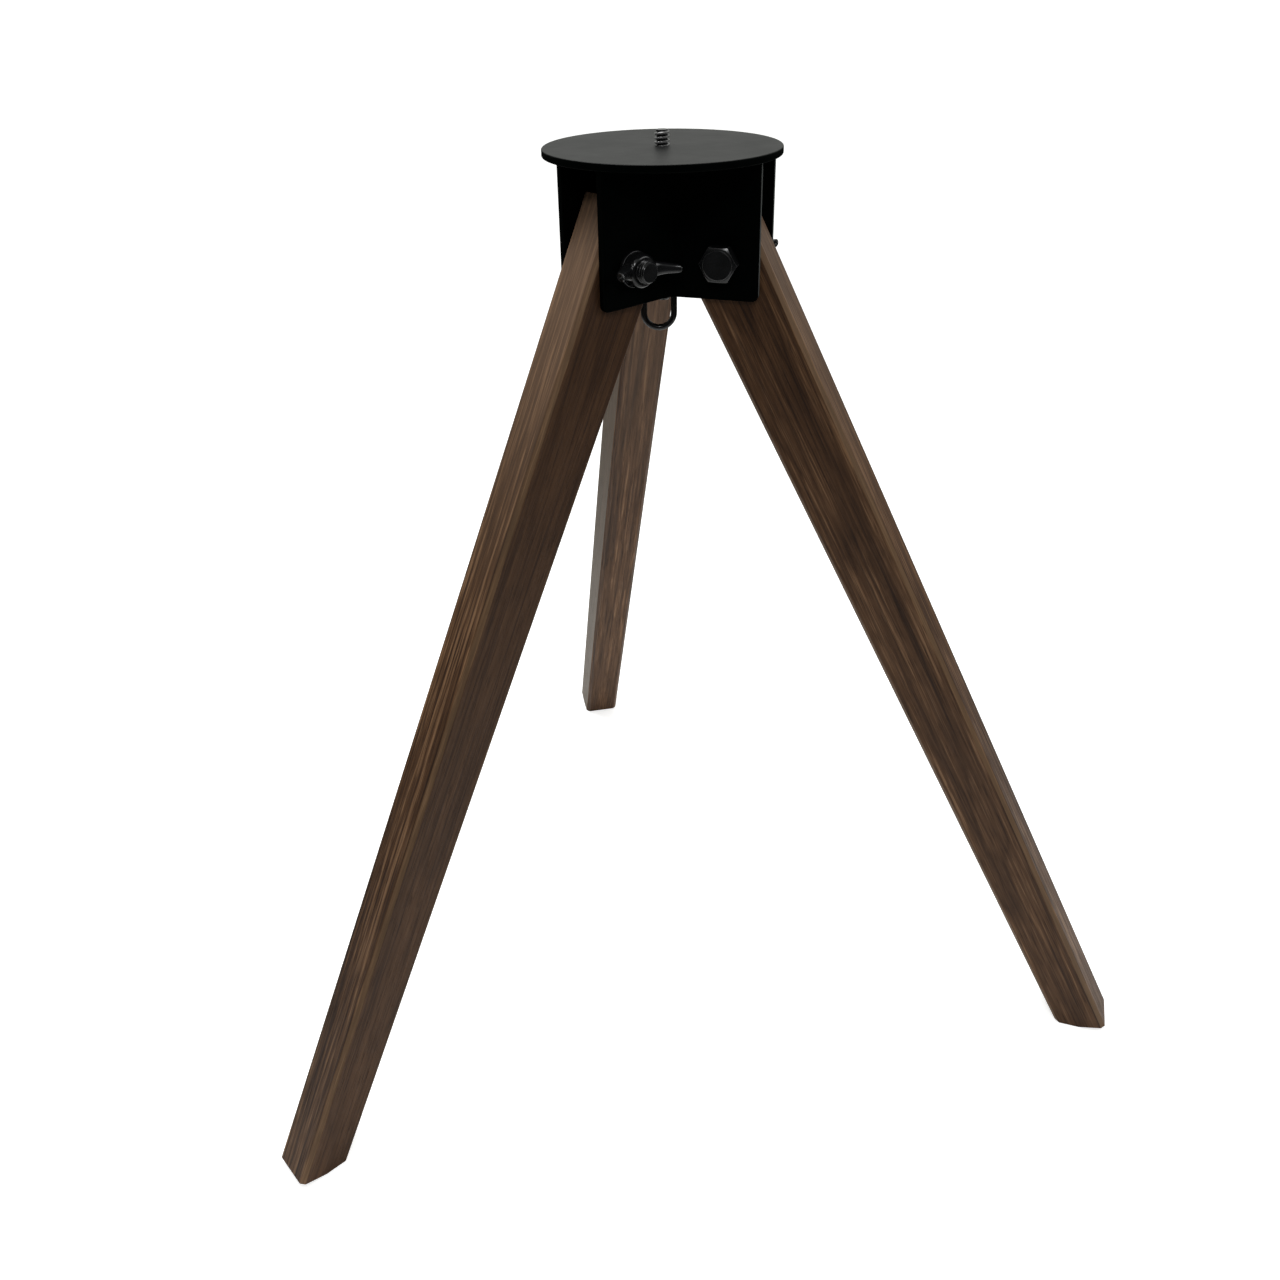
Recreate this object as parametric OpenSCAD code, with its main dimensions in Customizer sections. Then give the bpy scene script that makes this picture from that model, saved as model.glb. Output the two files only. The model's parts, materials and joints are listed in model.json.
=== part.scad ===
// Low field tripod: a round steel top plate with a camera stud, three V brackets
// welded under it, and three tapered walnut legs that swing on hex bolts with wing nuts.
// Millimetres. The origin is the foot of the stud, on the plate's top face.
// +Z is up, the front bracket opens towards -Y and the rear leg points towards +Y.

/* [Stand] */
// Height of the plate's top face above the floor
stand_h = 434.2; // [400:0.1:480]
// Angle of each leg from the vertical when open
splay = 27.1; // [24:0.1:29]

/* [Top plate] */
// Plate diameter
plate_d = 101.6; // [98:0.1:110]
// Plate thickness
plate_t = 3.2; // [2.5:0.1:5]

/* [Brackets] */
// Height of the bent sheet below the plate
bracket_h = 57.2; // [54:0.1:62]
// Length of each wing from the bend
wing_len = 38.1; // [36:0.1:41]
// Sheet thickness
sheet_t = 2.5; // [2:0.1:4]
// Width of the slot between two brackets, which holds a leg
leg_gap = 22.4; // [22.2:0.1:23]
// Inside radius of the bend
bend_r = 2; // [1:0.5:4]
// Radius of the wings' bottom outer corners
corner_r = 3; // [2:0.1:6]
// Bolt centre to the wing's outer edge
bolt_inset = 16.5; // [14:0.1:18]
// Bolt centre to the wing's bottom edge
bolt_rise = 15.9; // [13:0.1:18]

/* [Legs] */
// Leg thickness, across the slot
leg_t = 22; // [20:0.1:22]
// Leg width at the top end
leg_w_top = 34.9; // [32:0.1:35]
// Leg width at the floor
leg_w_foot = 23.3; // [17:0.1:32]
// Depth of the foot that rests flat on the floor, from its inner edge
foot_flat = 12; // [6:0.5:14]
// How far the outer edge of the foot is trimmed back along the leg
foot_trim = 3.5; // [0.5:0.1:5]
// Length of leg above the bolt
leg_head = 23.6; // [20:0.1:24]
// Bevel on the inner edge of the top end
top_relief = 6; // [6:0.1:8]
// Bolt centre inboard of the leg's centreline
bore_offset = 0.6; // [0.6:0.1:1.5]
// Chamfer on the long edges
leg_ease = 2; // [2:0.1:3]

/* [Pivot hardware] */
// Bolt diameter
bolt_d = 9.5; // [8:0.1:9.6]
// Bolt length under the head
bolt_len = 38.1; // [37:0.1:42]
// Hex head across flats
head_af = 14.3; // [13:0.1:16]
// Hex head height
head_t = 5.8; // [4:0.1:7]
// Washer outside diameter
washer_d = 15.2; // [15:0.1:20]
// Washer thickness
washer_t = 1.6; // [1:0.1:2]
// Wing nut boss diameter at its base
boss_d = 14.6; // [14:0.1:16]
// Wing nut boss height
boss_h = 5.6; // [5:0.1:8]
// Wing nut span over both ears
ear_span = 31.6; // [28:0.1:32]
// Wing nut height to the top of the ears
ear_h = 12; // [11:0.1:13]
// Ear thickness
ear_t = 3; // [2:0.1:4]
// Resting turn of the wing nuts
nut_turn = 3; // [-10:1:10]

/* [Camera screw] */
// Thread diameter
screw_d = 6.35; // [6:0.05:6.35]
// Height of the stud above the plate
stud_h = 6.4; // [4:0.1:6.4]
// Diameter of the neck inside the bushing
neck_d = 4.8; // [4:0.1:5]
// Bushing under the plate, outside diameter
bushing_d = 14; // [12:0.1:16]
// Diameter of the bushing's spigot, which fills the hole in the plate
spigot_d = 11; // [9:0.1:11.5]
// Bushing height
bushing_h = 10; // [6:0.1:12]
// Collar outside diameter
collar_d = 12.7; // [10:0.1:14]
// Collar height
collar_h = 5; // [3:0.1:6]
// Depth of the ring's pivot below the plate's top face
ring_drop = 61.3; // [61.3:0.1:64]
// Resting turn of the screw about its axis
screw_turn = -12; // [-45:1:45]

/* [Ring] */
// Ring outside width
ring_w = 16.2; // [16:0.1:17]
// Ring outside height
ring_h = 19.8; // [18:0.1:20]
// Wire diameter
ring_wire = 2.8; // [2.4:0.1:2.8]
// Sideways rest position of the loose ring
ring_shift = -1.9; // [-1.9:0.1:1.9]

/* [Hidden] */
$fn = 64;
walnut = "#5c4332";
black_paint = "#232527";
black_steel = "#2e2f31";
az_front_left = 210;
az_front_right = 330;
az_rear = 90;
half_turn = 60;
run_clear = 0.09;
neck_clear = 0.075;
hold_clear = 0.015;
end_gap = 0.4;
cut = 1;

bolt_bore_d = bolt_d + 2 * run_clear;
neck_bore_d = neck_d + 2 * neck_clear;
bracket_bottom = -plate_t - bracket_h;
slot_apex = leg_gap / 2 / sin(half_turn);
face_apex = (leg_gap / 2 + sheet_t) / sin(half_turn);
wing_r = wing_len + face_apex * cos(half_turn);
bolt_r = wing_r - bolt_inset;
bolt_z = bracket_bottom + bolt_rise;
wing_face = leg_gap / 2 + sheet_t;
nut_seat = wing_face + washer_t;

leg_len = (stand_h + bolt_z) / cos(splay) + leg_head;
leg_taper = (leg_w_foot - leg_w_top) / leg_len;

// Point of the open leg in its radius and height plane: u runs down the leg from the bolt
// and v runs outward, square to the leg.
function leg_point(u, v) = [
    bolt_r + u * sin(splay) + v * cos(splay),
    bolt_z - u * cos(splay) + v * sin(splay)
];

// Distance of a leg face from the bolt: side 1 is the outer face, -1 the inner one.
function face_v(u, side) = bore_offset + side * (leg_w_top + leg_taper * (u + leg_head)) / 2;

// Distance down the leg at which a face meets the floor.
function floor_u(side) = (stand_h + bolt_z + sin(splay) * face_v(0, side))
    / (cos(splay) - side * leg_taper * sin(splay) / 2);

function face_top(side) = leg_point(-leg_head, face_v(-leg_head, side));
function face_foot(side) = leg_point(floor_u(side), face_v(floor_u(side), side));
foot_trim_u = floor_u(1) - foot_trim;

module leg_profile() {
    polygon([
        face_top(1),
        leg_point(foot_trim_u, face_v(foot_trim_u, 1)),
        face_foot(-1) + [foot_flat, 0],
        face_foot(-1),
        leg_point(-leg_head + top_relief, face_v(-leg_head + top_relief, -1)),
        leg_point(-leg_head, face_v(-leg_head, -1) + top_relief)
    ]);
}

// A square bar along one long edge, turned 45 degrees so that it takes off a chamfer.
module edge_cutter(side, end) {
    a = face_top(side);
    b = face_foot(side);
    half = leg_ease / sqrt(2);
    translate([a[0], a[1], end * leg_t / 2])
        rotate([0, 0, atan2(b[1] - a[1], b[0] - a[0])])
            rotate([45, 0, 0])
                translate([-leg_w_top, -half, -half])
                    cube([norm(b - a) + 2 * leg_w_top, 2 * half, 2 * half]);
}

module leg(azimuth) {
    color(walnut)
        rotate([0, 0, azimuth])
            rotate([90, 0, 0])
                difference() {
                    linear_extrude(leg_t, center = true)
                        difference() {
                            leg_profile();
                            translate([bolt_r, bolt_z])
                                circle(d = bolt_bore_d);
                        }
                    for (side = [-1, 1], end = [-1, 1])
                        edge_cutter(side, end);
                }
}

// Plan of a bent sheet whose fold lies on +X, with one wing at +60 and one at -60 degrees.
module bracket_plan() {
    out_r = bend_r + sheet_t;
    bend_x = slot_apex + out_r / sin(half_turn);
    flare = 2 * out_r;
    difference() {
        polygon([
            [slot_apex, 0],
            wing_corner(leg_gap / 2, -1),
            wing_corner(wing_face, -1),
            bend_end(bend_x, -1),
            bend_end(bend_x, 1),
            wing_corner(wing_face, 1),
            wing_corner(leg_gap / 2, 1)
        ]);
        difference() {
            bend_wedge(bend_x, flare);
            translate([bend_x, 0])
                circle(r = out_r);
        }
        translate([bend_x, 0])
            circle(r = bend_r);
    }
}

// Where the inside of the bend runs out into a wing.
function bend_end(bend_x, side) = [
    bend_x - bend_r * sin(half_turn),
    side * bend_r * cos(half_turn)
];

// Kite between the bend's centre and the two lines square to the wings.
module bend_wedge(bend_x, reach) {
    polygon([
        [bend_x, 0],
        [bend_x - reach * sin(half_turn), reach * cos(half_turn)],
        [bend_x - reach / sin(half_turn), 0],
        [bend_x - reach * sin(half_turn), -reach * cos(half_turn)]
    ]);
}

function wing_corner(offset, side) = [
    wing_r * cos(half_turn) + offset * sin(half_turn),
    side * (wing_r * sin(half_turn) - offset * cos(half_turn))
];

// Rounds a wing's bottom outer corner and drills its bolt hole, in the leg's own frame:
// X is the radius and the sheet lies to the side of the slot given by side.
module wing_cutter(side) {
    translate([wing_r, side * (wing_face + cut), bracket_bottom])
        rotate([90, 0, 0])
            mirror([0, 0, side < 0 ? 1 : 0])
                linear_extrude(sheet_t + 2 * cut)
                    difference() {
                        translate([-corner_r, -cut])
                            square([corner_r + cut, corner_r + cut]);
                        translate([-corner_r, corner_r])
                            circle(r = corner_r);
                    }
    translate([bolt_r, side * (wing_face + cut), bolt_z])
        rotate([side * 90, 0, 0])
            cylinder(d = bolt_bore_d, h = sheet_t + 2 * cut);
}

module bracket(azimuth) {
    color(black_paint)
        rotate([0, 0, azimuth])
            difference() {
                translate([0, 0, bracket_bottom])
                    linear_extrude(bracket_h)
                        bracket_plan();
                rotate([0, 0, half_turn])
                    wing_cutter(-1);
                rotate([0, 0, -half_turn])
                    wing_cutter(1);
            }
}

module top_plate() {
    color(black_paint)
        translate([0, 0, -plate_t])
            linear_extrude(plate_t)
                difference() {
                    circle(d = plate_d, $fn = 128);
                    circle(d = spigot_d + 2 * hold_clear);
                }
}

// Flanged bushing: its spigot fills the plate's hole, flush with the top face.
module screw_bushing() {
    color(black_paint)
        difference() {
            union() {
                translate([0, 0, -plate_t - bushing_h])
                    cylinder(d = bushing_d, h = bushing_h);
                translate([0, 0, -plate_t - bushing_h / 2])
                    cylinder(d = spigot_d, h = plate_t + bushing_h / 2);
            }
            translate([0, 0, -plate_t - bushing_h - cut])
                cylinder(d = neck_bore_d, h = plate_t + bushing_h + 2 * cut);
        }
}

// Puts hardware on a leg's bolt: local Z runs along the bolt, from its head to its nut.
module on_bolt(azimuth, height) {
    rotate([0, 0, azimuth])
        translate([bolt_r, height, bolt_z])
            rotate([-90, 0, 0])
                children();
}

module bolt(azimuth) {
    tip = 0.8;
    color(black_steel)
        on_bolt(azimuth, -wing_face) {
            translate([0, 0, -head_t])
                cylinder(d = head_af / cos(30), h = head_t, $fn = 6);
            cylinder(d = bolt_d, h = bolt_len - tip);
            translate([0, 0, bolt_len - tip])
                cylinder(d1 = bolt_d, d2 = bolt_d - 2 * tip, h = tip);
        }
}

module washer(azimuth) {
    color(black_steel)
        on_bolt(azimuth, wing_face)
            linear_extrude(washer_t)
                difference() {
                    circle(d = washer_d);
                    circle(d = bolt_bore_d);
                }
}

// One ear of the wing nut, in radius and height: a swept-up blade with a round tip.
module ear_profile() {
    tip_r = 2.8;
    tip_x = ear_span / 2 - tip_r;
    tip_y = ear_h - tip_r;
    root_x = boss_d / 2 - 2;
    translate([tip_x, tip_y])
        circle(r = tip_r);
    polygon([
        [root_x, 0.8],
        [boss_d / 2 + 1.1, 1.6],
        [tip_x + tip_r * cos(45), tip_y - tip_r * sin(45)],
        [tip_x, tip_y],
        [tip_x - tip_r * cos(50), tip_y + tip_r * sin(50)],
        [root_x, boss_h - 0.3]
    ]);
}

module wing_nut(azimuth) {
    boss_slope = 0.4;
    color(black_steel)
        on_bolt(azimuth, nut_seat)
            rotate([0, 0, -nut_turn])
                difference() {
                    union() {
                        cylinder(d1 = boss_d, d2 = boss_d - 2 * boss_slope, h = boss_h);
                        for (turn = [0, 180])
                            rotate([90, 0, turn])
                                linear_extrude(ear_t, center = true)
                                    ear_profile();
                    }
                    translate([0, 0, -cut])
                        cylinder(d = bolt_bore_d, h = ear_h + 2 * cut);
                }
}

// Centre screw: the stud stands on the bushing's top, the neck turns inside it, and the long
// shank below it is cross drilled for the ring.
module camera_screw() {
    tip = 0.7;
    shoulder = plate_t + bushing_h + end_gap / 2;
    shank_end = ring_drop + 4;
    color(black_steel)
        rotate([0, 0, screw_turn])
            difference() {
                union() {
                    cylinder(d = screw_d, h = stud_h - tip);
                    translate([0, 0, stud_h - tip])
                        cylinder(d1 = screw_d, d2 = screw_d - 2 * tip, h = tip);
                    translate([0, 0, -shoulder])
                        cylinder(d = neck_d, h = shoulder);
                    translate([0, 0, tip - shank_end])
                        cylinder(d = screw_d, h = shank_end - tip - shoulder);
                    translate([0, 0, -shank_end])
                        cylinder(d1 = screw_d - 2 * tip, d2 = screw_d, h = tip);
                }
                translate([-screw_d, 0, -ring_drop])
                    rotate([0, 90, 0])
                        cylinder(d = ring_wire + 0.2, h = 2 * screw_d);
            }
}

module screw_collar() {
    collar_top = -plate_t - bushing_h - end_gap;
    color(black_steel)
        translate([0, 0, collar_top - collar_h])
            linear_extrude(collar_h)
                difference() {
                    circle(d = collar_d);
                    circle(d = screw_d + 2 * hold_clear);
                }
}

// Closed wire ring: a straight bar through the screw, two arms and a half circle below.
module d_ring() {
    bow_r = (ring_w - ring_wire) / 2;
    elbow_r = 1.5;
    arm_end = ring_h - ring_wire - bow_r;
    color(black_steel)
        rotate([0, 0, screw_turn])
            translate([ring_shift, 0, -ring_drop]) {
                translate([elbow_r - bow_r, 0, 0])
                    rotate([0, 90, 0])
                        cylinder(d = ring_wire, h = 2 * (bow_r - elbow_r));
                for (side = [0, 1])
                    mirror([side, 0, 0]) {
                        translate([bow_r - elbow_r, 0, -elbow_r])
                            rotate([90, 0, 0])
                                rotate_extrude(angle = 90)
                                    translate([elbow_r, 0])
                                        circle(d = ring_wire);
                        translate([bow_r, 0, -arm_end])
                            cylinder(d = ring_wire, h = arm_end - elbow_r);
                    }
                translate([0, 0, -arm_end])
                    rotate([-90, 0, 0])
                        rotate_extrude(angle = 180)
                            translate([bow_r, 0])
                                circle(d = ring_wire);
            }
}

top_plate();
bracket(az_front_left + half_turn);  // bracket_front
bracket(az_rear - half_turn);  // bracket_right
bracket(az_rear + half_turn);  // bracket_left
screw_bushing();
leg(az_front_left);  // leg_front_left
leg(az_front_right);  // leg_front_right
leg(az_rear);  // leg_rear
bolt(az_front_left);  // bolt_front_left
bolt(az_front_right);  // bolt_front_right
bolt(az_rear);  // bolt_rear
washer(az_front_left);  // washer_front_left
washer(az_front_right);  // washer_front_right
washer(az_rear);  // washer_rear
wing_nut(az_front_left);  // wing_nut_front_left
wing_nut(az_front_right);  // wing_nut_front_right
wing_nut(az_rear);  // wing_nut_rear
camera_screw();
screw_collar();
d_ring();
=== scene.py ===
"""Looks for the wooden field tripod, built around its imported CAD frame."""

import json
import math

import bmesh
import bpy
from mathutils import Matrix, Vector

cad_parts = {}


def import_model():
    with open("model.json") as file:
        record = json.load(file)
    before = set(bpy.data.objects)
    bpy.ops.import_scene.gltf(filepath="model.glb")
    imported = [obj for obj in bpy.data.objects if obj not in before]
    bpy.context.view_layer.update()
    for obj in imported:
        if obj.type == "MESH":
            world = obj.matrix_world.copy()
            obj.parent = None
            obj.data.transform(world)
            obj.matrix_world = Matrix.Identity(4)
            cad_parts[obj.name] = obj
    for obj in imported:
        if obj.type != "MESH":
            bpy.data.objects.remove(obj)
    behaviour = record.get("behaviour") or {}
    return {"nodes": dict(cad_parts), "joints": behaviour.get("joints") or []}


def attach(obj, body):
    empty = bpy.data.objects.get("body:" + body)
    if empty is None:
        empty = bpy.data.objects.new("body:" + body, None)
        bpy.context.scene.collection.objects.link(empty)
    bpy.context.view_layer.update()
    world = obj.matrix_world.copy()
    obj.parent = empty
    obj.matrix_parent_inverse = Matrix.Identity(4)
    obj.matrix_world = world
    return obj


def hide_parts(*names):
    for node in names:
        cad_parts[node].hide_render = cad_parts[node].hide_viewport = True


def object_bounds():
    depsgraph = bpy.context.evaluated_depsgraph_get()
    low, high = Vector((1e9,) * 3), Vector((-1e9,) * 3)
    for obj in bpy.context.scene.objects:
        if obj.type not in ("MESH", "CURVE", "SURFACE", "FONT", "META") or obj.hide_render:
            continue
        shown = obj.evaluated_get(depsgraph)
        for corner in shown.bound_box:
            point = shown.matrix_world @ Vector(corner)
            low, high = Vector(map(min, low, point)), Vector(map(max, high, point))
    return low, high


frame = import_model()
cad_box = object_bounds()

MM = 0.001
UP = Vector((0, 0, 1))
JOINTS = {j["name"]: j for j in frame["joints"]}
LEGS = {"left": "front_left", "right": "front_right", "rear": "rear"}
FLOOR_Z = cad_box[0].z

BOLT_R = 4.75 * MM
BOLT_PITCH = 25.4 / 16 * MM
STUD_R = 3.175 * MM
STUD_PITCH = 1.75 * MM
NECK_R = 2.4 * MM
SPIGOT_R = 5.5 * MM
HOLE_GAP = 0.015 * MM
BORE_GAP = 0.09 * MM
ROUND = 96


# ---------------------------------------------------------------- frames of reference

def extent(node, origin, axis):
    """Lowest and highest distance of a CAD node's vertices from origin, along axis."""
    along = [(v.co - origin).dot(axis) for v in frame["nodes"][node].data.vertices]
    return min(along), max(along)


class Pivot:
    """A leg's bolt: its centre, its axis from head to nut, and the directions square to it."""

    def __init__(self, side):
        joint = JOINTS[side + "_leg_fold"]
        self.side, self.node = side, LEGS[side]
        self.axis = Vector(joint["axis"]).normalized()
        self.out = Vector((joint["pos_m"][0], joint["pos_m"][1], 0)).normalized()
        self.centre = Vector(joint["pos_m"])
        self.splay = math.radians(joint["range_deg"][1])

    def matrix(self, height=0.0):
        """Local X points outward, Z along the bolt from its head to its nut."""
        columns = Matrix((self.out, -UP, self.axis)).transposed().to_4x4()
        return Matrix.Translation(self.centre + self.axis * height) @ columns

    def span(self, part, axis):
        return extent(f"{part}_{self.node}", self.centre, axis)


# ---------------------------------------------------------------- mesh helpers

def skin(bm, rings, close=False):
    """Quads between rings of equal length; close joins the last ring to the first."""
    count = len(rings)
    for i in range(count if close else count - 1):
        a, b = rings[i], rings[(i + 1) % count]
        for k in range(len(a)):
            n = (k + 1) % len(a)
            bm.faces.new((a[k], a[n], b[n], b[k]))


def cap(bm, ring, z, flip=False):
    """Closes a ring with a fan whose centre is at height z on the local axis."""
    middle = bm.verts.new((0, 0, z))
    for k in range(len(ring)):
        corners = (ring[k], ring[(k + 1) % len(ring)], middle)
        bm.faces.new(corners[::-1] if flip else corners)


def turned(bm, rows, pitch=1.0, count=ROUND):
    """Rings of a turned part. A row is (z, radius) or, on a thread, (z, radius, groove depth)."""
    rings = []
    for row in rows:
        z, radius, depth = (tuple(row) + (0.0,))[:3]
        ring = []
        for k in range(count):
            turn = k / count
            r = radius - depth * groove(z / pitch - turn)
            ring.append(bm.verts.new((r * math.cos(turn * math.tau),
                                      r * math.sin(turn * math.tau), z)))
        rings.append(ring)
    return rings


def groove(phase):
    """Depth share of a 60 degree thread at a phase: flat crest, sloping flanks, narrow root."""
    p = phase % 1.0
    crest, root = 0.32, 0.08
    ramp = (1 - crest - root) / 2
    if p < crest:
        return 0.0
    if p < crest + ramp:
        return (p - crest) / ramp
    if p < crest + ramp + root:
        return 1.0
    return (1 - p) / ramp


def thread_rows(start, end, radius, pitch, lead=0.0, steps=12):
    """Rows of a thread from start to end, whose depth fades in over lead at the start and
    whose end is chamfered."""
    depth = min(0.56 * pitch, 0.8 * MM)
    total = max(2, round((end - start) / pitch * steps))
    rows = []
    for i in range(total + 1):
        z = start + (end - start) * i / total
        fade = min(1.0, (z - start) / lead) if lead else 1.0
        chamfer = max(0.0, z - (end - depth))
        here = max(0.0, depth * fade - chamfer)
        rows.append((z, radius - chamfer, here))
    return rows


def settle(bm, name, matrix=None):
    """Turns a finished bmesh into an object in the frame's own axes."""
    bmesh.ops.remove_doubles(bm, verts=bm.verts, dist=1e-7)
    bmesh.ops.recalc_face_normals(bm, faces=bm.faces)
    mesh = bpy.data.meshes.new(name)
    bm.to_mesh(mesh)
    bm.free()
    if matrix is not None:
        mesh.transform(matrix)
    obj = bpy.data.objects.new(name, mesh)
    bpy.context.scene.collection.objects.link(obj)
    return obj


def shade(obj, angle=35.0):
    obj.data.shade_smooth()
    obj.data.set_sharp_from_angle(angle=math.radians(angle))


def bake(obj):
    """Replaces an object's mesh by the result of its modifiers."""
    graph = bpy.context.evaluated_depsgraph_get()
    result = bpy.data.meshes.new_from_object(obj.evaluated_get(graph))
    result.name = obj.data.name
    obj.modifiers.clear()
    obj.data = result


def place(obj, body, slot, material, *nodes):
    """Gives a new piece its material, its body and the CAD nodes it stands for."""
    obj.data.materials.clear()
    obj.data.materials.append(material)
    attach(obj, body)
    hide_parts(*nodes)


def ease(node, width, segments=2, angle=30.0):
    """Welds a carried-over CAD node, merges its flat facets and rounds its sharp edges."""
    obj = frame["nodes"][node]
    weld = obj.modifiers.new("weld", "WELD")
    weld.merge_threshold = 0.002 * MM
    flat = obj.modifiers.new("flat", "DECIMATE")
    flat.decimate_type = "DISSOLVE"
    flat.angle_limit = math.radians(0.5)
    bevel = obj.modifiers.new("round", "BEVEL")
    bevel.width = width
    bevel.segments = segments
    bevel.limit_method = "ANGLE"
    bevel.angle_limit = math.radians(angle)
    bevel.miter_outer = "MITER_ARC"
    normals = obj.modifiers.new("normals", "WEIGHTED_NORMAL")
    normals.keep_sharp = False
    for face in obj.data.polygons:
        face.use_smooth = True


def paint_node(node, material):
    mesh = frame["nodes"][node].data
    mesh.materials.clear()
    mesh.materials.append(material)


# ---------------------------------------------------------------- material helpers

class Nodes:
    """A node tree under construction, with short calls for the nodes used here."""

    def __init__(self, tree):
        self.tree = tree

    def add(self, kind, **settings):
        node = self.tree.nodes.new(kind)
        for key, value in settings.items():
            setattr(node, key, value)
        return node

    def join(self, source, target):
        self.tree.links.new(source, target)

    def feed(self, socket, value):
        if isinstance(value, bpy.types.NodeSocket):
            self.join(value, socket)
        else:
            socket.default_value = value

    def math(self, operation, a, b=0.0, c=0.0, clamp=False):
        node = self.add("ShaderNodeMath", operation=operation, use_clamp=clamp)
        for socket, value in zip(node.inputs, (a, b, c)):
            self.feed(socket, value)
        return node.outputs[0]

    def vector(self, operation, a, b=(0, 0, 0)):
        node = self.add("ShaderNodeVectorMath", operation=operation)
        self.feed(node.inputs[0], a)
        self.feed(node.inputs[1], b)
        return node.outputs["Value" if operation in ("DOT_PRODUCT", "LENGTH") else 0]

    def xyz(self, x, y, z):
        node = self.add("ShaderNodeCombineXYZ")
        for socket, value in zip(node.inputs, (x, y, z)):
            self.feed(socket, value)
        return node.outputs[0]

    def noise(self, where, scale=1.0, detail=2.0, rough=0.5):
        node = self.add("ShaderNodeTexNoise")
        self.feed(node.inputs["Vector"], where)
        self.feed(node.inputs["Scale"], scale)
        self.feed(node.inputs["Detail"], detail)
        self.feed(node.inputs["Roughness"], rough)
        return node.outputs["Fac"]

    def spread(self, value, low, high, to_low=0.0, to_high=1.0, curve="LINEAR"):
        node = self.add("ShaderNodeMapRange", interpolation_type=curve)
        for key, number in (("Value", value), ("From Min", low), ("From Max", high),
                            ("To Min", to_low), ("To Max", to_high)):
            self.feed(node.inputs[key], number)
        return node.outputs[0]

    def ramp(self, value, stops):
        node = self.add("ShaderNodeValToRGB")
        elements = node.color_ramp.elements
        while len(elements) < len(stops):
            elements.new(0.5)
        for element, (position, colour) in zip(elements, stops):
            element.position = position
            element.color = (*colour, 1)
        self.feed(node.inputs[0], value)
        return node.outputs[0]

    def blend(self, factor, a, b, mode="MIX"):
        node = self.add("ShaderNodeMix", data_type="RGBA", blend_type=mode)
        self.feed(node.inputs[0], factor)
        for socket, value in ((node.inputs[6], a), (node.inputs[7], b)):
            self.feed(socket, (*value, 1) if isinstance(value, tuple) else value)
        return node.outputs[2]

    def edge(self, radius, sharp=0.85):
        """About 0 on a flat face, rising to 1 where rounding it by radius would turn its normal
        so far that the cosine falls to sharp."""
        bevel = self.add("ShaderNodeBevel", samples=4)
        bevel.inputs["Radius"].default_value = radius
        normal = self.add("ShaderNodeNewGeometry").outputs["Normal"]
        facing = self.vector("DOT_PRODUCT", bevel.outputs[0], normal)
        return self.spread(facing, 0.995, sharp)


class Shader(Nodes):
    """A material under construction."""

    def __init__(self, name):
        self.material = bpy.data.materials.new(name)
        self.material.use_nodes = True
        super().__init__(self.material.node_tree)
        self.bsdf = self.tree.nodes["Principled BSDF"]

    def bump(self, height, strength, distance):
        node = self.add("ShaderNodeBump")
        node.inputs["Strength"].default_value = strength
        node.inputs["Distance"].default_value = distance
        self.feed(node.inputs["Height"], height)
        self.join(node.outputs[0], self.bsdf.inputs["Normal"])

    def finish(self, colour, rough, metallic=0.0, specular=0.5):
        self.feed(self.bsdf.inputs["Base Color"], colour)
        self.feed(self.bsdf.inputs["Roughness"], rough)
        self.feed(self.bsdf.inputs["Metallic"], metallic)
        self.feed(self.bsdf.inputs["Specular IOR Level"], specular)
        return self.material


# ---------------------------------------------------------------- materials

# WALNUT_STOPS: the wood's colour from its darkest figure to its lightest. In WALNUT_LOOKS, heart
# # is where the growth rings' centre lies from the leg's own, across the leg and along the bolt,
# # drift is how fast it wanders down the leg, and the rest are strengths between about 0 and 1.5.
# # Of these, shade and foot set painted shade, chamfer a painted highlight and grey a painted
# sheen.
WALNUT_STOPS = [(0.16, (0.026, 0.0105, 0.0042)), (0.38, (0.064, 0.0285, 0.0117)),
                (0.60, (0.115, 0.0560, 0.0255)), (0.84, (0.262, 0.1450, 0.0740))]
WALNUT_LOOKS = {
    "left": {"seed": 1.0, "heart": (1.0 * MM, 35 * MM), "drift": 0.030, "ring": 2.9 * MM,
             "tone": 0.90, "pale": 0.0, "shade": 0.22, "contrast": 1.55, "calm": 0.95,
             "chamfer": 0.48, "foot": 0.20, "grey": 0.0},
    "right": {"seed": 2.3, "heart": (3.0 * MM, -40 * MM), "drift": -0.021, "ring": 2.3 * MM,
              "tone": 1.05, "pale": 0.06, "shade": 0.04, "contrast": 1.35, "calm": 0.30,
              "chamfer": 0.60, "foot": 0.12, "grey": 0.0},
    "rear": {"seed": 3.9, "heart": (34 * MM, 9 * MM), "drift": 0.012, "ring": 3.4 * MM,
             "tone": 1.42, "pale": 0.20, "shade": 0.0, "contrast": 0.95, "calm": 0.2,
             "chamfer": 0.0, "foot": 0.0, "grey": 0.55},
}

RING_PROFILE = [(0.0, 0.40), (0.10, 0.80), (0.55, 0.70), (0.84, 0.42), (0.95, 0.08), (1.0, 0.40)]
# Among these tints, the lighter upper outer-face tint, the shaded, chamfer and grey tints are
# painted light, shade, highlight and sheen; the edge tint is partly wear and partly painted
# highlight.
WALNUT_TINTS = {
    "line": (0.034, 0.015, 0.008), "pore": (0.022, 0.011, 0.007), "pale": (0.150, 0.098, 0.062),
    "painted_top_light": (0.230, 0.150, 0.100), "shaded": (0.022, 0.010, 0.006),
    "chamfer": (0.200, 0.125, 0.070), "painted_sheen": (0.220, 0.200, 0.170),
    "end": (0.075, 0.042, 0.026), "worn_and_highlight": (0.25, 0.150, 0.085),
}


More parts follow.
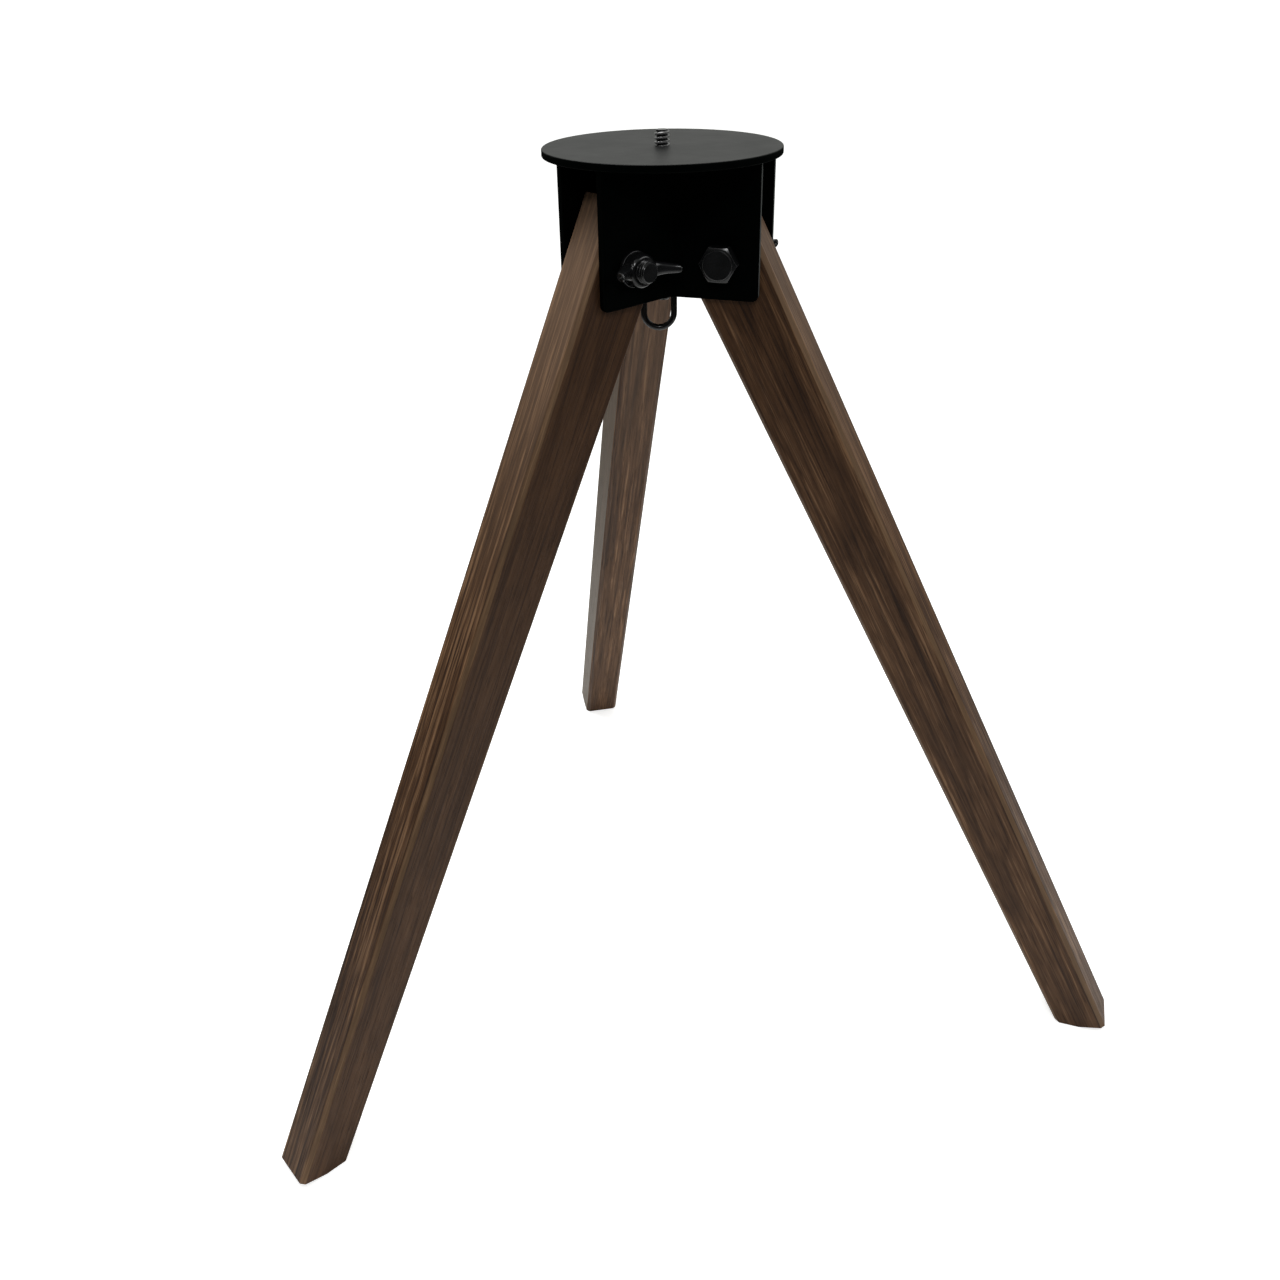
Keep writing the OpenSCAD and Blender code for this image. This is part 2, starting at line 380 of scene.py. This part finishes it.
class Board(Shader):
    """The wood of one leg, in its own directions from the bolt: u down the leg along the grain,
    v across it in the plane it swings in, w along the bolt."""

    def __init__(self, pivot, look):
        super().__init__("walnut_" + pivot.node)
        self.look, self.axis = look, pivot.axis
        down, outward = math.cos(pivot.splay), math.sin(pivot.splay)
        self.grain = (pivot.out * outward - UP * down).normalized()
        self.across = self.axis.cross(self.grain)
        coords = self.add("ShaderNodeTexCoord")
        self.normal = coords.outputs["Normal"]
        spot = self.vector("SUBTRACT", coords.outputs["Object"], tuple(pivot.centre))
        self.u, self.v, self.w = (self.vector("DOT_PRODUCT", spot, tuple(direction))
                                  for direction in (self.grain, self.across, self.axis))
        self.shift = self.math("ADD", self.u, look["seed"] * 1.7)

    def facing(self, direction):
        """Cosine between the surface's own normal and a direction, whatever its sign."""
        return self.math("ABSOLUTE", self.vector("DOT_PRODUCT", self.normal, tuple(direction)))

    def stretched(self, along, sideways, detail=1, rough=0.55, offset=0.0):
        """Noise drawn out along the grain, with its scale along and across it."""
        return self.noise(self.xyz(self.math("MULTIPLY", self.shift, along),
                                   self.math("MULTIPLY_ADD", self.v, sideways, offset),
                                   self.math("MULTIPLY", self.w, sideways)),
                          detail=detail, rough=rough)

    def growth_rings(self):
        """Rings round a heart beside the leg, which drifts along it."""
        look = self.look
        heart_v, heart_w = look["heart"]
        wander = self.math("SUBTRACT", self.stretched(7, 40, 2), 0.5)
        wander = self.math("MULTIPLY", wander, 5 * MM)
        off_v = self.math("SUBTRACT", self.v, heart_v)
        off_w = self.math("SUBTRACT", self.w, heart_w)
        off_w = self.math("MULTIPLY_ADD", self.u, -look["drift"], off_w)
        radius = self.math("ADD", self.vector("LENGTH", self.xyz(0.0, off_v, off_w)), wander)
        phase = self.math("FRACT", self.math("DIVIDE", radius, look["ring"]))
        return self.ramp(phase, [(position, (grey,) * 3) for position, grey in RING_PROFILE])

    def weighted(self, *parts):
        """Sum of values, each times its weight."""
        total = 0.0
        for value, weight in parts:
            total = self.math("MULTIPLY_ADD", value, weight, total)
        return total

    def tints_and_painted_light(self, streak, line, pore):
        """The tints laid over the base colour, from the lowest up, each with its cover. Grain and
        end grain are the wood's own and the lighter edges are partly wear; the lighter upper
        outer faces, the shaded sides and foot, the lighter chamfers, the edges' highlight and the
        grey sheen on faces turned to -X are painted light and shade.
        """
        look, u = self.look, self.u
        to_outer, to_side = self.facing(self.across), self.facing(self.axis)
        outer = self.spread(to_outer, 0.80, 0.98)
        side = self.spread(to_side, 0.80, 0.98)
        # painted highlight: this mask lightens the chamfers as if they caught the light
        chamfer = self.spread(self.math("MINIMUM", to_outer, to_side), 0.45, 0.65)
        # painted sheen: faces turned to -X are greyed and lightened like a grazing reflection
        painted_sheen = self.vector("DOT_PRODUCT", self.normal, (-1, 0, 0))
        painted_sheen = self.spread(painted_sheen, 0.80, 0.98)
        end = self.spread(self.facing(self.grain), 0.75, 0.87)
        shaded = self.math("MULTIPLY", side, self.spread(u, 0.0, 0.40, look["shade"], 0.0))
        at_foot = self.spread(u, 0.15, 0.45, 0.0, look["foot"])
        return (
            ("line", self.math("MULTIPLY", line, 0.55)),
            ("pore", self.math("MULTIPLY", pore, 0.55)),
            ("pale", self.spread(u, 0.0, 0.42, 0.0, look["pale"])),
            # painted light: outer faces lighter near the top of the leg
            ("painted_top_light", self.math("MULTIPLY", outer, self.spread(u, -0.02, 0.18, 0.56, 0.0))),
            ("shaded", self.math("MULTIPLY_ADD", outer, at_foot, shaded)),
            # painted highlight on the chamfers
            ("chamfer", self.math("MULTIPLY", chamfer, look["chamfer"])),
            ("painted_sheen", self.math("MULTIPLY", painted_sheen, look["grey"])),
            ("end", self.math("MULTIPLY", end, 0.35)),
            # edges lighter: partly wear, partly painted highlight
            ("worn_and_highlight", self.math("MULTIPLY", self.edge(0.6 * MM, 0.93),
                               self.spread(streak, 0.0, 1.0, 0.15, 0.55))),
        )


def walnut(pivot, look):
    """Oiled walnut. A face cut across the growth rings shows arched grain and the others
    straight grain; faces, chamfers and foot are tinted apart, partly with painted light and
    shade."""
    m = Board(pivot, look)
    streak = m.spread(m.stretched(6, 330, 3), 0.34, 0.66)
    band = m.spread(m.stretched(1.8, 60, 1, offset=7.0), 0.32, 0.68)
    fibre = m.spread(m.stretched(26, 820, 2, 0.7, offset=3.0), 0.32, 0.68)
    line = m.spread(m.stretched(9, 800, 1, offset=11.0), 0.58, 0.66)
    pore = m.spread(m.stretched(75, 2100, 1, offset=5.0), 0.58, 0.68)

    value = m.weighted((streak, 0.26), (band, 0.10), (m.growth_rings(), 0.27), (fibre, 0.37))
    side = m.spread(m.facing(m.axis), 0.80, 0.98)
    contrast = m.math("MULTIPLY_ADD", side, -look["calm"], look["contrast"])
    value = m.math("MULTIPLY_ADD", m.math("SUBTRACT", value, 0.50), contrast, 0.46)
    colour = m.ramp(value, [(position, tuple(channel * look["tone"] for channel in rgb))
                            for position, rgb in WALNUT_STOPS])
    for tint, cover in m.tints_and_painted_light(streak, line, pore):
        colour = m.blend(cover, colour, WALNUT_TINTS[tint])

    rough = m.math("MULTIPLY_ADD", fibre, -0.10, 0.56)
    rough = m.math("MULTIPLY_ADD", pore, 0.15, rough)
    relief = m.math("MULTIPLY_ADD", pore, -1.0, m.math("MULTIPLY", fibre, 0.35))
    m.bump(relief, 0.35, 0.12 * MM)
    return m.finish(colour, rough, specular=0.22)


def powder_coat(name, gloss, rub, painted_lit_ends=()):
    """Satin black paint with a fine orange peel, faint brushing under it and rubbed edges. Sheet
    ends that face along one of the given directions are painted a lighter grey, a painted
    highlight as if lit from that side."""
    m = Shader(name)
    coords = m.add("ShaderNodeTexCoord")
    here, normal = coords.outputs["Object"], coords.outputs["Normal"]
    peel = m.noise(here, 900, 3, 0.6)
    cloud = m.noise(here, 38, 4, 0.6)
    scuff = m.noise(m.vector("MULTIPLY", here, (60, 900, 700)), 1.0, 4, 0.7)
    colour = m.ramp(m.spread(cloud, 0.3, 0.7),
                    [(0.0, (0.0004, 0.0008, 0.0007)), (1.0, (0.0012, 0.0018, 0.0016))])
    rubbed = m.math("MULTIPLY", m.edge(0.5 * MM), m.spread(cloud, 0.35, 0.75, 0.15, 0.75))
    colour = m.blend(m.math("MULTIPLY", rubbed, rub), colour, (0.060, 0.063, 0.062))
    # painted highlight: sheet ends facing these directions turn lighter grey
    for direction in painted_lit_ends:
        end = m.spread(m.vector("DOT_PRODUCT", normal, tuple(direction)), 0.95, 0.99)
        colour = m.blend(end, colour, (0.095, 0.100, 0.098))
    rough = m.math("MULTIPLY_ADD", cloud, 0.16, 0.34)
    rough = m.math("MULTIPLY_ADD", scuff, 0.08, rough)
    m.bump(m.math("MULTIPLY_ADD", scuff, 0.4, peel), 0.22, 0.05 * MM)
    top = m.spread(m.vector("DOT_PRODUCT", normal, (0, 0, 1)), 0.6, 0.98, 0.012, gloss)
    return m.finish(colour, rough, specular=top)


def black_oxide(name, wear_and_highlight, bright, crest=None):
    """Blackened steel: slightly metallic, oily and uneven, lighter on its edges, partly wear and
    partly painted highlight. With a crest radius, the metal out there is lightened in the same
    way and what lies deeper stays dark."""
    m = Shader(name)
    here = m.add("ShaderNodeTexCoord").outputs["Object"]
    grit = m.noise(here, 1600, 3, 0.65)
    cloud = m.noise(here, 120, 3, 0.6)
    colour = m.ramp(m.spread(cloud, 0.3, 0.7),
                    [(0.0, (0.007, 0.0075, 0.008)), (1.0, (0.016, 0.0165, 0.018))])
    if crest:
        away = m.vector("LENGTH", m.vector("MULTIPLY", here, (1, 1, 0)))
        worn_and_highlight = m.spread(away, crest - 0.38 * MM, crest - 0.08 * MM)
        worn_and_highlight = m.math("MULTIPLY", worn_and_highlight, m.spread(grit, 0.35, 0.7, 0.7, 1.0))
    else:
        worn_and_highlight = m.math("MULTIPLY", m.edge(0.3 * MM), m.spread(grit, 0.35, 0.7, 0.3, 1.0))
    # edges or crests go toward a light grey: partly wear, partly painted highlight
    colour = m.blend(m.math("MULTIPLY", worn_and_highlight, wear_and_highlight), colour, (bright, bright, bright))
    rough = m.math("MULTIPLY_ADD", cloud, 0.12, 0.15)
    m.bump(grit, 0.2, 0.03 * MM)
    return m.finish(colour, rough, metallic=0.35, specular=0.6)


# ---------------------------------------------------------------- pieces

def round_rows(radius, low, high, ease_r, steps=5):
    """Rows of a turned side wall whose two edges are rounded off."""
    rows = []
    for centre, start in ((low + ease_r, 0), (high - ease_r, 1)):
        for i in range(steps + 1):
            angle = math.radians(90 * (i / steps - 1 + start))
            rows.append((centre + ease_r * math.sin(angle),
                         radius - ease_r * (1 - math.cos(angle))))
    return rows


def top_plate(material):
    """Turned disc with soft rims, holed to the size of the bushing that fills it."""
    low, high = extent("top_plate", Vector(), UP)
    radius = extent("top_plate", Vector(), Vector((1, 0, 0)))[1]
    hole = SPIGOT_R + HOLE_GAP
    rim = 0.55 * MM
    rows = [(low, hole), (low, radius - 2 * rim)]
    rows += round_rows(radius, low, high, rim)
    rows += [(high, radius - 2 * rim), (high, hole)]
    bm = bmesh.new()
    skin(bm, turned(bm, rows, count=2 * ROUND), close=True)
    obj = settle(bm, "round_top_plate")
    shade(obj, 50)
    place(obj, "head", "black_paint", material, "top_plate")


def hex_head(bm, flats, base, top):
    """Hexagonal bolt head from z=base outward to z=top (top lies below base), with a turned
    chamfer that leaves scalloped corners and a slightly raised face."""
    sign = 1 if top > base else -1
    height = abs(top - base)
    face_r = 0.46 * flats
    lift = 0.2 * MM
    count = ROUND

    def reach(turn):
        off = (turn * math.tau) % (math.tau / 6) - math.tau / 12
        return flats / 2 / math.cos(off)

    def ring(radius_of, z_of):
        out = []
        for k in range(count):
            r = radius_of(k / count)
            angle = k / count * math.tau
            out.append(bm.verts.new((r * math.cos(angle), r * math.sin(angle),
                                     base + sign * z_of(r))))
        return out

    def chamfer(r):
        return height - lift - max(0.0, r - face_r) * math.tan(math.radians(28))

    rings = [ring(lambda t: face_r * 0.55, lambda r: height),
             ring(lambda t: face_r * 0.93, lambda r: height),
             ring(lambda t: face_r * 0.97, lambda r: height - lift),
             ring(lambda t: face_r, chamfer),
             ring(lambda t: (reach(t) + face_r) / 2, chamfer),
             ring(reach, chamfer),
             ring(reach, lambda r: 0.25 * MM),
             ring(lambda t: reach(t) - 0.2 * MM, lambda r: 0.0)]
    cap(bm, rings[0], base + sign * height)
    cap(bm, rings[-1], base, flip=True)
    skin(bm, rings)


def bolt(pivot, material):
    head_out, tip = pivot.span("bolt", pivot.axis)
    flats = 2 * pivot.span("bolt", UP)[1]
    seat = -pivot.span("washer", pivot.axis)[0]
    nut_seat = pivot.span("wing_nut", pivot.axis)[0]
    bm = bmesh.new()
    hex_head(bm, flats, seat, head_out)
    plain_end = nut_seat - 3 * MM
    rows = [(seat, BOLT_R), (plain_end - 0.2 * MM, BOLT_R)]
    rows += thread_rows(plain_end, tip, BOLT_R, BOLT_PITCH, lead=BOLT_PITCH)
    rings = turned(bm, rows, BOLT_PITCH)
    cap(bm, rings[0], seat, flip=True)
    cap(bm, rings[-1], tip)
    skin(bm, rings)
    obj = settle(bm, "hex_bolt_" + pivot.node, pivot.matrix())
    shade(obj, 32)
    place(obj, "head", "black_hardware", material, "bolt_" + pivot.node)


def ear(bm, start, reach, boss_h, top, side):
    """One wing: oval sections that leave the boss wide and thick and sweep up to a round tip."""
    stations, corners, squareness = 32, 20, 0.78
    root_z, tip_z = boss_h * 0.46, top - 3.1 * MM
    root_tall, tip_tall = 2.75, 2.95
    round_from, least = 0.90, 0.05

    def squared(value):
        return math.copysign(abs(value) ** squareness, value)

    rings = []
    for i in range(stations + 1):
        s = i / stations
        x = start + (reach - start) * (1 - (1 - s) ** 1.15)
        rise = s ** 1.7
        middle = root_z + (tip_z - root_z) * rise
        tall = (root_tall * (1 - s) + tip_tall * s) * MM
        thick = (1.9 * (1 - s) ** 1.6 + 1.85) * MM
        past = max(0.0, (s - round_from) / 0.10)
        close = max(max(0.0, 1 - past ** 3) ** (1 / 3), least)
        ring = []
        for k in range(corners):
            angle = k / corners * math.tau
            wide, high = squared(math.cos(angle)), squared(math.sin(angle))
            lean = rise * 0.9 * MM * high
            ring.append(bm.verts.new((side * (x + lean * 0.6), side * wide * thick * close,
                                      middle + high * tall * close)))
        rings.append(ring)
    skin(bm, rings)
    bm.faces.new(rings[0])
    bm.faces.new(rings[-1][::-1])


def wing_nut(pivot, material):
    """Cast wing nut: a turned boss and two ears, fused and softened like a casting."""
    seat, top = pivot.span("wing_nut", pivot.axis)
    reach = pivot.span("wing_nut", pivot.out)[1]
    tall = top - seat
    boss_r, boss_h = 7.25 * MM, 5.7 * MM
    bore = BOLT_R + BORE_GAP
    bm = bmesh.new()
    rows = [(0.0, bore), (0.0, boss_r - 0.5 * MM), (0.5 * MM, boss_r),
            (boss_h * 0.55, boss_r - 0.15 * MM), (boss_h - 0.9 * MM, boss_r - 0.4 * MM),
            (boss_h - 0.2 * MM, boss_r - 1.0 * MM), (boss_h, boss_r - 1.5 * MM), (boss_h, bore)]
    skin(bm, turned(bm, rows), close=True)
    for side in (1, -1):
        ear(bm, boss_r - 1.6 * MM, reach, boss_h, tall, side)
    obj = settle(bm, "wing_nut_cast_" + pivot.node)
    fuse = obj.modifiers.new("fuse", "REMESH")
    fuse.mode = "VOXEL"
    fuse.voxel_size = 0.22 * MM
    soften = obj.modifiers.new("soften", "SMOOTH")
    soften.factor = 0.5
    soften.iterations = 8
    bake(obj)
    turn = Matrix.Rotation(math.radians(-3), 4, "Z")
    obj.data.transform(pivot.matrix(seat) @ turn)
    obj.data.shade_smooth()
    place(obj, pivot.side + "_wing_nut", "black_hardware", material, "wing_nut_" + pivot.node)


def centre_screw(material):
    """Threaded stud, smooth neck and the threaded shank below, cross drilled for the ring."""
    low, high = extent("camera_screw", Vector(), UP)
    joint = JOINTS["ring_swing"]
    bushing_low, bushing_high = extent("screw_bushing", Vector(), UP)
    bm = bmesh.new()
    chamfer = 0.7 * MM
    plain = 8 * MM
    shoulder = bushing_low - 0.2 * MM
    start = low + chamfer
    body = thread_rows(start, shoulder, STUD_R, STUD_PITCH, steps=8)
    rows = [(low, STUD_R - chamfer), (start, STUD_R)]
    rows += [row for row in body if row[0] > low + plain]
    rows += [(shoulder, NECK_R), (bushing_high, NECK_R)]
    rows += thread_rows(bushing_high, high, STUD_R, STUD_PITCH, steps=16)
    rings = turned(bm, rows, STUD_PITCH)
    cap(bm, rings[0], low, flip=True)
    cap(bm, rings[-1], high)
    skin(bm, rings)
    obj = settle(bm, "threaded_screw")
    drill(obj, Vector(joint["pos_m"]), Vector(joint["axis"]), 1.5 * MM, 12 * MM)
    shade(obj, 32)
    place(obj, "centre_screw", "black_hardware", material, "camera_screw")


def drill(obj, centre, axis, radius, length):
    """Cuts a round hole through an object with a boolean."""
    bm = bmesh.new()
    rings = turned(bm, [(-length / 2, radius), (length / 2, radius)], count=48)
    cap(bm, rings[0], -length / 2, flip=True)
    cap(bm, rings[-1], length / 2)
    skin(bm, rings)
    turn = axis.to_track_quat("Z", "Y").to_matrix().to_4x4()
    cutter = settle(bm, "drill", Matrix.Translation(centre) @ turn)
    cut = obj.modifiers.new("hole", "BOOLEAN")
    cut.object = cutter
    cut.operation = "DIFFERENCE"
    cut.solver = "EXACT"
    bake(obj)
    bpy.data.objects.remove(cutter)


def wire_ring(material):
    """Bent wire: a straight bar through the screw, rounded elbows, two arms and a half circle."""
    joint = JOINTS["ring_swing"]
    centre, along = Vector(joint["pos_m"]), Vector(joint["axis"]).normalized()
    left, right = extent("d_ring", centre, along)
    bottom, top = extent("d_ring", centre, UP)
    wire = top
    bow = (right - left) / 2 - wire
    middle = (right + left) / 2
    elbow = 1.9 * MM
    low = bottom + wire + bow
    around = 24

    def arc(cx, cz, r, start, stop, steps):
        angles = [math.radians(start + (stop - start) * i / steps) for i in range(steps + 1)]
        return [(cx + r * math.cos(angle), cz + r * math.sin(angle)) for angle in angles]

    path = [(0.0, 0.0)]
    path += arc(bow - elbow, -elbow, elbow, 90, 0, 8)
    path += arc(0, low, bow, 0, -180, 40)
    path += arc(elbow - bow, -elbow, elbow, 180, 90, 8)
    points = [centre + along * (middle + x) + UP * z for x, z in path]
    square = along.cross(UP)
    bm = bmesh.new()
    rings = []
    count = len(points)
    for i, p in enumerate(points):
        ahead = (points[(i + 1) % count] - points[i - 1]).normalized()
        side = ahead.cross(square).normalized()
        turns = [k / around * math.tau for k in range(around)]
        rings.append([bm.verts.new(p + (side * math.cos(turn) + square * math.sin(turn)) * wire)
                      for turn in turns])
    skin(bm, rings, close=True)
    obj = settle(bm, "wire_ring")
    obj.data.shade_smooth()
    place(obj, "ring", "black_hardware", material, "d_ring")


# ---------------------------------------------------------------- stage

FORWARD = Vector((0.1721, 0.87371, -0.45498))
CAMERA_UP = Vector((0.10815, 0.44232, 0.89031))
CAMERA_AT = Vector((-0.11473, -0.50180, 0.07390))
LENS, SENSOR = 32.96, 36
SHIFT = (0.0053, -0.0729)
LIGHTS = (
    ("key", (-0.3, 0.15, 0.95), 0.8, 9),
    ("fill", (1.3, -0.5, 0.6), 1.0, 6),
    ("glint", (-0.3, -1.25, 1.0), 0.3, 4),
)
LIGHTS_AIM = Vector((0, 0, -0.15))


def camera():
    data = bpy.data.cameras.new("camera")
    data.lens, data.sensor_width, data.sensor_fit = LENS, SENSOR, "HORIZONTAL"
    data.shift_x, data.shift_y = SHIFT
    data.clip_start, data.clip_end = 0.01, 200
    obj = bpy.data.objects.new("camera", data)
    right = FORWARD.cross(CAMERA_UP).normalized()
    up = right.cross(FORWARD).normalized()
    obj.matrix_world = Matrix.Translation(CAMERA_AT) @ Matrix(
        (right, up, -FORWARD)).transposed().to_4x4()
    bpy.context.scene.collection.objects.link(obj)
    bpy.context.scene.camera = obj


def floor():
    """A pale floor. The camera sees it as white paper with a faint shadow; to everything else
    it is a round of lit paper under the tripod that darkens outward."""
    bm = bmesh.new()
    half = 60
    corners = [bm.verts.new((x * half, y * half, FLOOR_Z - 0.02 * MM))
               for x, y in ((-1, -1), (1, -1), (1, 1), (-1, 1))]
    bm.faces.new(corners)
    obj = settle(bm, "floor")
    m = Shader("pale_floor")
    nodes = m.tree.nodes
    paper = nodes.new("ShaderNodeBsdfDiffuse")
    glow = nodes.new("ShaderNodeEmission")
    path = nodes.new("ShaderNodeLightPath")
    here = m.vector("MULTIPLY", nodes.new("ShaderNodeTexCoord").outputs["Object"], (1, 1, 0))
    away = m.vector("LENGTH", here)
    fleck = m.math("MULTIPLY", m.noise(here, 60, 3), 0.02)
    lit = m.math("ADD", m.spread(away, 0.36, 0.80, 0.84, 0.05), fleck)
    seen = path.outputs["Is Camera Ray"]
    m.join(m.math("MULTIPLY", seen, 0.66), glow.inputs["Strength"])
    m.join(m.blend(seen, m.xyz(lit, lit, lit), (0.82, 0.82, 0.82)), paper.inputs["Color"])
    both = nodes.new("ShaderNodeAddShader")
    m.join(paper.outputs[0], both.inputs[0])
    m.join(glow.outputs[0], both.inputs[1])
    m.join(both.outputs[0], nodes["Material Output"].inputs["Surface"])
    obj.data.materials.append(m.material)


def area_light(name, at, size, power):
    data = bpy.data.lights.new(name, "AREA")
    data.shape, data.size, data.energy = "DISK", size, power
    obj = bpy.data.objects.new(name, data)
    obj.location = at
    aim = LIGHTS_AIM - Vector(at)
    obj.rotation_euler = aim.to_track_quat("-Z", "Y").to_euler()
    bpy.context.scene.collection.objects.link(obj)


def world():
    """White to the camera. As light it is bright behind and above and dim towards the camera."""
    studio = bpy.data.worlds.new("studio")
    bpy.context.scene.world = studio
    studio.use_nodes = True
    studio.node_tree.nodes.clear()
    n = Nodes(studio.node_tree)
    seen_way = n.add("ShaderNodeTexCoord").outputs["Generated"]
    back = Vector((FORWARD.x, FORWARD.y, 0)).normalized()
    depth = n.vector("DOT_PRODUCT", seen_way, tuple(back))
    depth = n.spread(depth, -0.35, 0.75, 0.03, 0.60, "SMOOTHSTEP")
    overhead = n.vector("DOT_PRODUCT", seen_way, (0, 0, 1))
    overhead = n.spread(overhead, 0.25, 0.95, 0.0, 0.50, "SMOOTHSTEP")
    light, seen = n.add("ShaderNodeBackground"), n.add("ShaderNodeBackground")
    n.feed(light.inputs["Strength"], n.math("ADD", depth, overhead))
    n.feed(light.inputs["Color"], (0.985, 1.0, 0.955, 1))
    n.feed(seen.inputs["Color"], (1, 1, 1, 1))
    n.feed(seen.inputs["Strength"], 1.0)
    mix = n.add("ShaderNodeMixShader")
    n.join(n.add("ShaderNodeLightPath").outputs["Is Camera Ray"], mix.inputs[0])
    n.join(light.outputs[0], mix.inputs[1])
    n.join(seen.outputs[0], mix.inputs[2])
    n.join(mix.outputs[0], n.add("ShaderNodeOutputWorld").inputs["Surface"])


# ---------------------------------------------------------------- build

def dress(pivots):
    """Builds the new pieces and gives every piece its material."""
    paint = powder_coat("plate_paint", gloss=0.22, rub=0.25)
    sheet_paint = powder_coat("bracket_paint", 0.05, 0.12, painted_lit_ends=[pivots["right"].out])
    # Hardware edges and crests are lightened, partly wear and partly painted highlight; the nuts
    # get the strongest painted highlight.
    steel = black_oxide("black_hardware", wear_and_highlight=0.6, bright=0.40)
    nut_steel = black_oxide("nut_hardware", wear_and_highlight=1.0, bright=0.85)
    screw_steel = black_oxide("screw_hardware", wear_and_highlight=0.8, bright=0.30, crest=STUD_R)
    wire_steel = black_oxide("wire_hardware", wear_and_highlight=0.1, bright=0.30)
    top_plate(paint)
    paint_node("screw_bushing", paint)
    ease("screw_bushing", 0.03 * MM)
    for side in ("front", "right", "left"):
        paint_node("bracket_" + side, sheet_paint)
        ease("bracket_" + side, 0.35 * MM)
    paint_node("screw_collar", steel)
    ease("screw_collar", 0.3 * MM)
    for side, pivot in pivots.items():
        paint_node("leg_" + pivot.node, walnut(pivot, WALNUT_LOOKS[side]))
        ease("leg_" + pivot.node, 0.35 * MM, angle=25)
        paint_node("washer_" + pivot.node, steel)
        ease("washer_" + pivot.node, 0.25 * MM)
        bolt(pivot, steel)
        wing_nut(pivot, nut_steel)
    centre_screw(screw_steel)
    wire_ring(wire_steel)


def set_stage():
    floor()
    world()
    for name, at, size, power in LIGHTS:
        area_light(name, at, size, power)
    camera()
    bpy.context.scene.view_settings.view_transform = "Standard"


dress({side: Pivot(side) for side in LEGS})
set_stage()
